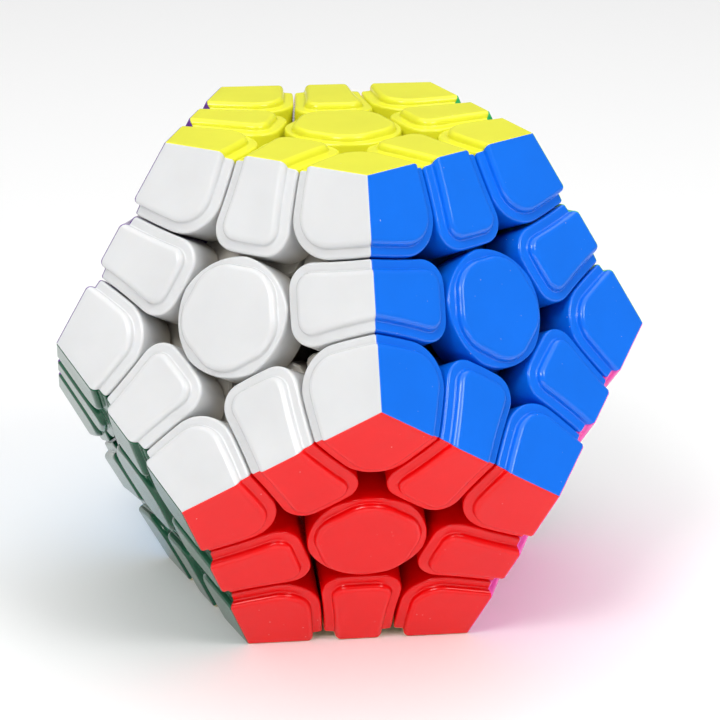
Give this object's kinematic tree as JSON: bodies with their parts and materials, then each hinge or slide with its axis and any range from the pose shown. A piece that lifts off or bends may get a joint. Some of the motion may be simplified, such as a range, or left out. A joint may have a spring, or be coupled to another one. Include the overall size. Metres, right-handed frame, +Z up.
{
  "type": "dodecahedron twisty puzzle",
  "caption": "Twelve-sided layer-turning puzzle of coloured plastic pieces on a sprung core, resting on one face.",
  "frame": {"origin": "middle of the bottom face, which the puzzle rests on", "axes": "+Z up through the middle of the top face, -Y towards the lower face in front"},
  "size_m": [0.0878, 0.0922, 0.0746],
  "materials": {
    "yellow": "moulded coloured plastic, satin gloss",
    "white": "moulded coloured plastic, satin gloss",
    "blue": "moulded coloured plastic, satin gloss",
    "light_green": "moulded coloured plastic, satin gloss",
    "orange": "moulded coloured plastic, satin gloss",
    "purple": "moulded coloured plastic, satin gloss",
    "red": "moulded coloured plastic, satin gloss",
    "pink": "moulded coloured plastic, satin gloss",
    "grey": "moulded coloured plastic, satin gloss",
    "light_blue": "moulded coloured plastic, satin gloss",
    "dark_green": "moulded coloured plastic, satin gloss",
    "cream": "moulded coloured plastic, satin gloss",
    "core_plastic": "moulded nylon",
    "steel": "plated steel"
  },
  "bodies": {
    "core": {"core": "core_plastic", "tension_screws": "steel", "centre_cream": "cream"},
    "yellow_face": {"centre_yellow": "yellow"},
    "white_face": {"centre_white": "white"},
    "blue_face": {"centre_blue": "blue"},
    "light_green_face": {"centre_light_green": "light_green"},
    "orange_face": {"centre_orange": "orange"},
    "purple_face": {"centre_purple": "purple"},
    "red_face": {"centre_red": "red", "edge_red_cream": "red"},
    "pink_face": {"centre_pink": "pink", "edge_pink_cream": "pink"},
    "grey_face": {"centre_grey": "grey", "edge_grey_cream": "grey"},
    "light_blue_face": {"centre_light_blue": "light_blue", "edge_light_blue_cream": "light_blue"},
    "dark_green_face": {"centre_dark_green": "dark_green", "edge_dark_green_cream": "dark_green"},
    "edge_yellow_purple": {"edge_yellow_purple": "yellow"},
    "edge_white_blue": {"edge_white_blue": "white"},
    "edge_white_red": {"edge_white_red": "white"},
    "edge_yellow_blue": {"edge_yellow_blue": "yellow"},
    "edge_light_green_orange": {"edge_light_green_orange": "light_green"},
    "edge_red_pink": {"edge_and_corner_red_pink_cream": "red"},
    "edge_orange_light_blue": {"edge_orange_light_blue": "orange"},
    "edge_yellow_white": {"edge_yellow_white": "yellow"},
    "edge_blue_light_green": {"edge_blue_light_green": "blue"},
    "edge_blue_pink": {"edge_blue_pink": "blue"},
    "edge_yellow_light_green": {"edge_yellow_light_green": "yellow"},
    "edge_orange_purple": {"edge_orange_purple": "orange"},
    "edge_pink_grey": {"edge_and_corner_pink_grey_cream": "pink"},
    "edge_purple_dark_green": {"edge_purple_dark_green": "purple"},
    "edge_grey_light_blue": {"edge_and_corner_grey_light_blue_cream": "grey"},
    "edge_light_green_grey": {"edge_light_green_grey": "light_green"},
    "edge_yellow_orange": {"edge_yellow_orange": "yellow"},
    "edge_white_purple": {"edge_white_purple": "white"},
    "edge_red_dark_green": {"edge_and_corner_red_dark_green_cream": "red"},
    "edge_light_blue_dark_green": {"edge_and_corner_light_blue_dark_green_cream": "light_blue"},
    "edge_white_dark_green": {"edge_white_dark_green": "white"},
    "edge_blue_red": {"edge_blue_red": "blue"},
    "edge_light_green_pink": {"edge_light_green_pink": "light_green"},
    "edge_orange_grey": {"edge_orange_grey": "orange"},
    "edge_purple_light_blue": {"edge_purple_light_blue": "purple"},
    "corner_yellow_white_purple": {"corner_yellow_white_purple": "yellow"},
    "corner_yellow_orange_purple": {"corner_yellow_orange_purple": "yellow"},
    "corner_yellow_white_blue": {"corner_yellow_white_blue": "yellow"},
    "corner_yellow_blue_light_green": {"corner_yellow_blue_light_green": "yellow"},
    "corner_yellow_light_green_orange": {"corner_yellow_light_green_orange": "yellow"},
    "corner_white_blue_red": {"corner_white_blue_red": "white"},
    "corner_light_green_pink_grey": {"corner_light_green_pink_grey": "light_green"},
    "corner_light_green_orange_grey": {"corner_light_green_orange_grey": "light_green"},
    "corner_orange_purple_light_blue": {"corner_orange_purple_light_blue": "orange"},
    "corner_white_red_dark_green": {"corner_white_red_dark_green": "white"},
    "corner_blue_light_green_pink": {"corner_blue_light_green_pink": "blue"},
    "corner_white_purple_dark_green": {"corner_white_purple_dark_green": "white"},
    "corner_blue_red_pink": {"corner_blue_red_pink": "blue"},
    "corner_orange_grey_light_blue": {"corner_orange_grey_light_blue": "orange"},
    "corner_purple_light_blue_dark_green": {"corner_purple_light_blue_dark_green": "purple"}
  },
  "joints": [
    {"name": "turn_yellow", "type": "hinge", "parent": "core", "child": "yellow_face", "pos_m": [0, 0, 0.0373], "axis": [0, 0, 1], "range_deg": [-216, 144]},
    {"name": "turn_white", "type": "hinge", "parent": "core", "child": "white_face", "pos_m": [0, 0, 0.0373], "axis": [-0.5257, -0.7236, 0.4472], "range_deg": [-216, 144]},
    {"name": "turn_blue", "type": "hinge", "parent": "core", "child": "blue_face", "pos_m": [0, 0, 0.0373], "axis": [0.5257, -0.7236, 0.4472], "range_deg": [-216, 144]},
    {"name": "turn_light_green", "type": "hinge", "parent": "core", "child": "light_green_face", "pos_m": [0, 0, 0.0373], "axis": [0.8507, 0.2764, 0.4472], "range_deg": [-216, 144]},
    {"name": "turn_orange", "type": "hinge", "parent": "core", "child": "orange_face", "pos_m": [0, 0, 0.0373], "axis": [0, 0.8944, 0.4472], "range_deg": [-216, 144]},
    {"name": "turn_purple", "type": "hinge", "parent": "core", "child": "purple_face", "pos_m": [0, 0, 0.0373], "axis": [-0.8507, 0.2764, 0.4472], "range_deg": [-216, 144]},
    {"name": "turn_red", "type": "hinge", "parent": "core", "child": "red_face", "pos_m": [0, 0, 0.0373], "axis": [0, -0.8944, -0.4472], "range_deg": [-216, 144]},
    {"name": "turn_pink", "type": "hinge", "parent": "core", "child": "pink_face", "pos_m": [0, 0, 0.0373], "axis": [0.8507, -0.2764, -0.4472], "range_deg": [-216, 144]},
    {"name": "turn_grey", "type": "hinge", "parent": "core", "child": "grey_face", "pos_m": [0, 0, 0.0373], "axis": [0.5257, 0.7236, -0.4472], "range_deg": [-216, 144]},
    {"name": "turn_light_blue", "type": "hinge", "parent": "core", "child": "light_blue_face", "pos_m": [0, 0, 0.0373], "axis": [-0.5257, 0.7236, -0.4472], "range_deg": [-216, 144]},
    {"name": "turn_dark_green", "type": "hinge", "parent": "core", "child": "dark_green_face", "pos_m": [0, 0, 0.0373], "axis": [-0.8507, -0.2764, -0.4472], "range_deg": [-216, 144]},
    {"name": "edge_yellow_purple_with_yellow", "type": "hinge", "parent": "purple_face", "child": "edge_yellow_purple", "pos_m": [0, 0, 0.0373], "axis": [0, 0, 1], "range_deg": [-216, 144]},
    {"name": "edge_white_blue_with_blue", "type": "hinge", "parent": "white_face", "child": "edge_white_blue", "pos_m": [0, 0, 0.0373], "axis": [0.5257, -0.7236, 0.4472], "range_deg": [-216, 144]},
    {"name": "edge_white_red_with_white", "type": "hinge", "parent": "red_face", "child": "edge_white_red", "pos_m": [0, 0, 0.0373], "axis": [-0.5257, -0.7236, 0.4472], "range_deg": [-216, 144]},
    {"name": "edge_yellow_blue_with_yellow", "type": "hinge", "parent": "blue_face", "child": "edge_yellow_blue", "pos_m": [0, 0, 0.0373], "axis": [0, 0, 1], "range_deg": [-216, 144]},
    {"name": "edge_light_green_orange_with_orange", "type": "hinge", "parent": "light_green_face", "child": "edge_light_green_orange", "pos_m": [0, 0, 0.0373], "axis": [0, 0.8944, 0.4472], "range_deg": [-216, 144]},
    {"name": "edge_red_pink_with_pink", "type": "hinge", "parent": "red_face", "child": "edge_red_pink", "pos_m": [0, 0, 0.0373], "axis": [0.8507, -0.2764, -0.4472], "range_deg": [-216, 144]},
    {"name": "edge_orange_light_blue_with_orange", "type": "hinge", "parent": "light_blue_face", "child": "edge_orange_light_blue", "pos_m": [0, 0, 0.0373], "axis": [0, 0.8944, 0.4472], "range_deg": [-216, 144]},
    {"name": "edge_yellow_white_with_yellow", "type": "hinge", "parent": "white_face", "child": "edge_yellow_white", "pos_m": [0, 0, 0.0373], "axis": [0, 0, 1], "range_deg": [-216, 144]},
    {"name": "edge_blue_light_green_with_light_green", "type": "hinge", "parent": "blue_face", "child": "edge_blue_light_green", "pos_m": [0, 0, 0.0373], "axis": [0.8507, 0.2764, 0.4472], "range_deg": [-216, 144]},
    {"name": "edge_blue_pink_with_blue", "type": "hinge", "parent": "pink_face", "child": "edge_blue_pink", "pos_m": [0, 0, 0.0373], "axis": [0.5257, -0.7236, 0.4472], "range_deg": [-216, 144]},
    {"name": "edge_yellow_light_green_with_yellow", "type": "hinge", "parent": "light_green_face", "child": "edge_yellow_light_green", "pos_m": [0, 0, 0.0373], "axis": [0, 0, 1], "range_deg": [-216, 144]},
    {"name": "edge_orange_purple_with_purple", "type": "hinge", "parent": "orange_face", "child": "edge_orange_purple", "pos_m": [0, 0, 0.0373], "axis": [-0.8507, 0.2764, 0.4472], "range_deg": [-216, 144]},
    {"name": "edge_pink_grey_with_grey", "type": "hinge", "parent": "pink_face", "child": "edge_pink_grey", "pos_m": [0, 0, 0.0373], "axis": [0.5257, 0.7236, -0.4472], "range_deg": [-216, 144]},
    {"name": "edge_purple_dark_green_with_purple", "type": "hinge", "parent": "dark_green_face", "child": "edge_purple_dark_green", "pos_m": [0, 0, 0.0373], "axis": [-0.8507, 0.2764, 0.4472], "range_deg": [-216, 144]},
    {"name": "edge_grey_light_blue_with_light_blue", "type": "hinge", "parent": "grey_face", "child": "edge_grey_light_blue", "pos_m": [0, 0, 0.0373], "axis": [-0.5257, 0.7236, -0.4472], "range_deg": [-216, 144]},
    {"name": "edge_light_green_grey_with_light_green", "type": "hinge", "parent": "grey_face", "child": "edge_light_green_grey", "pos_m": [0, 0, 0.0373], "axis": [0.8507, 0.2764, 0.4472], "range_deg": [-216, 144]},
    {"name": "edge_yellow_orange_with_yellow", "type": "hinge", "parent": "orange_face", "child": "edge_yellow_orange", "pos_m": [0, 0, 0.0373], "axis": [0, 0, 1], "range_deg": [-216, 144]},
    {"name": "edge_white_purple_with_white", "type": "hinge", "parent": "purple_face", "child": "edge_white_purple", "pos_m": [0, 0, 0.0373], "axis": [-0.5257, -0.7236, 0.4472], "range_deg": [-216, 144]},
    {"name": "edge_red_dark_green_with_red", "type": "hinge", "parent": "dark_green_face", "child": "edge_red_dark_green", "pos_m": [0, 0, 0.0373], "axis": [0, -0.8944, -0.4472], "range_deg": [-216, 144]},
    {"name": "edge_light_blue_dark_green_with_dark_green", "type": "hinge", "parent": "light_blue_face", "child": "edge_light_blue_dark_green", "pos_m": [0, 0, 0.0373], "axis": [-0.8507, -0.2764, -0.4472], "range_deg": [-216, 144]},
    {"name": "edge_white_dark_green_with_white", "type": "hinge", "parent": "dark_green_face", "child": "edge_white_dark_green", "pos_m": [0, 0, 0.0373], "axis": [-0.5257, -0.7236, 0.4472], "range_deg": [-216, 144]},
    {"name": "edge_blue_red_with_blue", "type": "hinge", "parent": "red_face", "child": "edge_blue_red", "pos_m": [0, 0, 0.0373], "axis": [0.5257, -0.7236, 0.4472], "range_deg": [-216, 144]},
    {"name": "edge_light_green_pink_with_light_green", "type": "hinge", "parent": "pink_face", "child": "edge_light_green_pink", "pos_m": [0, 0, 0.0373], "axis": [0.8507, 0.2764, 0.4472], "range_deg": [-216, 144]},
    {"name": "edge_orange_grey_with_orange", "type": "hinge", "parent": "grey_face", "child": "edge_orange_grey", "pos_m": [0, 0, 0.0373], "axis": [0, 0.8944, 0.4472], "range_deg": [-216, 144]},
    {"name": "edge_purple_light_blue_with_purple", "type": "hinge", "parent": "light_blue_face", "child": "edge_purple_light_blue", "pos_m": [0, 0, 0.0373], "axis": [-0.8507, 0.2764, 0.4472], "range_deg": [-216, 144]},
    {"name": "corner_yellow_white_purple_with_white", "type": "hinge", "parent": "edge_yellow_purple", "child": "corner_yellow_white_purple", "pos_m": [0, 0, 0.0373], "axis": [-0.5257, -0.7236, 0.4472], "range_deg": [-216, 144]},
    {"name": "corner_yellow_orange_purple_with_purple", "type": "hinge", "parent": "edge_yellow_orange", "child": "corner_yellow_orange_purple", "pos_m": [0, 0, 0.0373], "axis": [-0.8507, 0.2764, 0.4472], "range_deg": [-216, 144]},
    {"name": "corner_yellow_white_blue_with_blue", "type": "hinge", "parent": "edge_yellow_white", "child": "corner_yellow_white_blue", "pos_m": [0, 0, 0.0373], "axis": [0.5257, -0.7236, 0.4472], "range_deg": [-216, 144]},
    {"name": "corner_yellow_blue_light_green_with_light_green", "type": "hinge", "parent": "edge_yellow_blue", "child": "corner_yellow_blue_light_green", "pos_m": [0, 0, 0.0373], "axis": [0.8507, 0.2764, 0.4472], "range_deg": [-216, 144]},
    {"name": "corner_yellow_light_green_orange_with_orange", "type": "hinge", "parent": "edge_yellow_light_green", "child": "corner_yellow_light_green_orange", "pos_m": [0, 0, 0.0373], "axis": [0, 0.8944, 0.4472], "range_deg": [-216, 144]},
    {"name": "corner_white_blue_red_with_white", "type": "hinge", "parent": "edge_blue_red", "child": "corner_white_blue_red", "pos_m": [0, 0, 0.0373], "axis": [-0.5257, -0.7236, 0.4472], "range_deg": [-216, 144]},
    {"name": "corner_light_green_pink_grey_with_light_green", "type": "hinge", "parent": "edge_pink_grey", "child": "corner_light_green_pink_grey", "pos_m": [0, 0, 0.0373], "axis": [0.8507, 0.2764, 0.4472], "range_deg": [-216, 144]},
    {"name": "corner_light_green_orange_grey_with_light_green", "type": "hinge", "parent": "edge_orange_grey", "child": "corner_light_green_orange_grey", "pos_m": [0, 0, 0.0373], "axis": [0.8507, 0.2764, 0.4472], "range_deg": [-216, 144]},
    {"name": "corner_orange_purple_light_blue_with_orange", "type": "hinge", "parent": "edge_purple_light_blue", "child": "corner_orange_purple_light_blue", "pos_m": [0, 0, 0.0373], "axis": [0, 0.8944, 0.4472], "range_deg": [-216, 144]},
    {"name": "corner_white_red_dark_green_with_white", "type": "hinge", "parent": "edge_red_dark_green", "child": "corner_white_red_dark_green", "pos_m": [0, 0, 0.0373], "axis": [-0.5257, -0.7236, 0.4472], "range_deg": [-216, 144]},
    {"name": "corner_blue_light_green_pink_with_blue", "type": "hinge", "parent": "edge_light_green_pink", "child": "corner_blue_light_green_pink", "pos_m": [0, 0, 0.0373], "axis": [0.5257, -0.7236, 0.4472], "range_deg": [-216, 144]},
    {"name": "corner_white_purple_dark_green_with_purple", "type": "hinge", "parent": "edge_white_dark_green", "child": "corner_white_purple_dark_green", "pos_m": [0, 0, 0.0373], "axis": [-0.8507, 0.2764, 0.4472], "range_deg": [-216, 144]},
    {"name": "corner_blue_red_pink_with_blue", "type": "hinge", "parent": "edge_red_pink", "child": "corner_blue_red_pink", "pos_m": [0, 0, 0.0373], "axis": [0.5257, -0.7236, 0.4472], "range_deg": [-216, 144]},
    {"name": "corner_orange_grey_light_blue_with_orange", "type": "hinge", "parent": "edge_grey_light_blue", "child": "corner_orange_grey_light_blue", "pos_m": [0, 0, 0.0373], "axis": [0, 0.8944, 0.4472], "range_deg": [-216, 144]},
    {"name": "corner_purple_light_blue_dark_green_with_purple", "type": "hinge", "parent": "edge_light_blue_dark_green", "child": "corner_purple_light_blue_dark_green", "pos_m": [0, 0, 0.0373], "axis": [-0.8507, 0.2764, 0.4472], "range_deg": [-216, 144]}
  ],
  "couplings": [
    {"joint": "edge_yellow_purple_with_yellow", "follows": "turn_yellow", "ratio": 1},
    {"joint": "edge_white_blue_with_blue", "follows": "turn_blue", "ratio": 1},
    {"joint": "edge_white_red_with_white", "follows": "turn_white", "ratio": 1},
    {"joint": "edge_yellow_blue_with_yellow", "follows": "turn_yellow", "ratio": 1},
    {"joint": "edge_light_green_orange_with_orange", "follows": "turn_orange", "ratio": 1},
    {"joint": "edge_red_pink_with_pink", "follows": "turn_pink", "ratio": 1},
    {"joint": "edge_orange_light_blue_with_orange", "follows": "turn_orange", "ratio": 1},
    {"joint": "edge_yellow_white_with_yellow", "follows": "turn_yellow", "ratio": 1},
    {"joint": "edge_blue_light_green_with_light_green", "follows": "turn_light_green", "ratio": 1},
    {"joint": "edge_blue_pink_with_blue", "follows": "turn_blue", "ratio": 1},
    {"joint": "edge_yellow_light_green_with_yellow", "follows": "turn_yellow", "ratio": 1},
    {"joint": "edge_orange_purple_with_purple", "follows": "turn_purple", "ratio": 1},
    {"joint": "edge_pink_grey_with_grey", "follows": "turn_grey", "ratio": 1},
    {"joint": "edge_purple_dark_green_with_purple", "follows": "turn_purple", "ratio": 1},
    {"joint": "edge_grey_light_blue_with_light_blue", "follows": "turn_light_blue", "ratio": 1},
    {"joint": "edge_light_green_grey_with_light_green", "follows": "turn_light_green", "ratio": 1},
    {"joint": "edge_yellow_orange_with_yellow", "follows": "turn_yellow", "ratio": 1},
    {"joint": "edge_white_purple_with_white", "follows": "turn_white", "ratio": 1},
    {"joint": "edge_red_dark_green_with_red", "follows": "turn_red", "ratio": 1},
    {"joint": "edge_light_blue_dark_green_with_dark_green", "follows": "turn_dark_green", "ratio": 1},
    {"joint": "edge_white_dark_green_with_white", "follows": "turn_white", "ratio": 1},
    {"joint": "edge_blue_red_with_blue", "follows": "turn_blue", "ratio": 1},
    {"joint": "edge_light_green_pink_with_light_green", "follows": "turn_light_green", "ratio": 1},
    {"joint": "edge_orange_grey_with_orange", "follows": "turn_orange", "ratio": 1},
    {"joint": "edge_purple_light_blue_with_purple", "follows": "turn_purple", "ratio": 1},
    {"joint": "corner_yellow_white_purple_with_white", "follows": "turn_white", "ratio": 1},
    {"joint": "corner_yellow_orange_purple_with_purple", "follows": "turn_purple", "ratio": 1},
    {"joint": "corner_yellow_white_blue_with_blue", "follows": "turn_blue", "ratio": 1},
    {"joint": "corner_yellow_blue_light_green_with_light_green", "follows": "turn_light_green", "ratio": 1},
    {"joint": "corner_yellow_light_green_orange_with_orange", "follows": "turn_orange", "ratio": 1},
    {"joint": "corner_white_blue_red_with_white", "follows": "turn_white", "ratio": 1},
    {"joint": "corner_light_green_pink_grey_with_light_green", "follows": "turn_light_green", "ratio": 1},
    {"joint": "corner_light_green_orange_grey_with_light_green", "follows": "turn_light_green", "ratio": 1},
    {"joint": "corner_orange_purple_light_blue_with_orange", "follows": "turn_orange", "ratio": 1},
    {"joint": "corner_white_red_dark_green_with_white", "follows": "turn_white", "ratio": 1},
    {"joint": "corner_blue_light_green_pink_with_blue", "follows": "turn_blue", "ratio": 1},
    {"joint": "corner_white_purple_dark_green_with_purple", "follows": "turn_purple", "ratio": 1},
    {"joint": "corner_blue_red_pink_with_blue", "follows": "turn_blue", "ratio": 1},
    {"joint": "corner_orange_grey_light_blue_with_orange", "follows": "turn_orange", "ratio": 1},
    {"joint": "corner_purple_light_blue_dark_green_with_purple", "follows": "turn_purple", "ratio": 1}
  ]
}
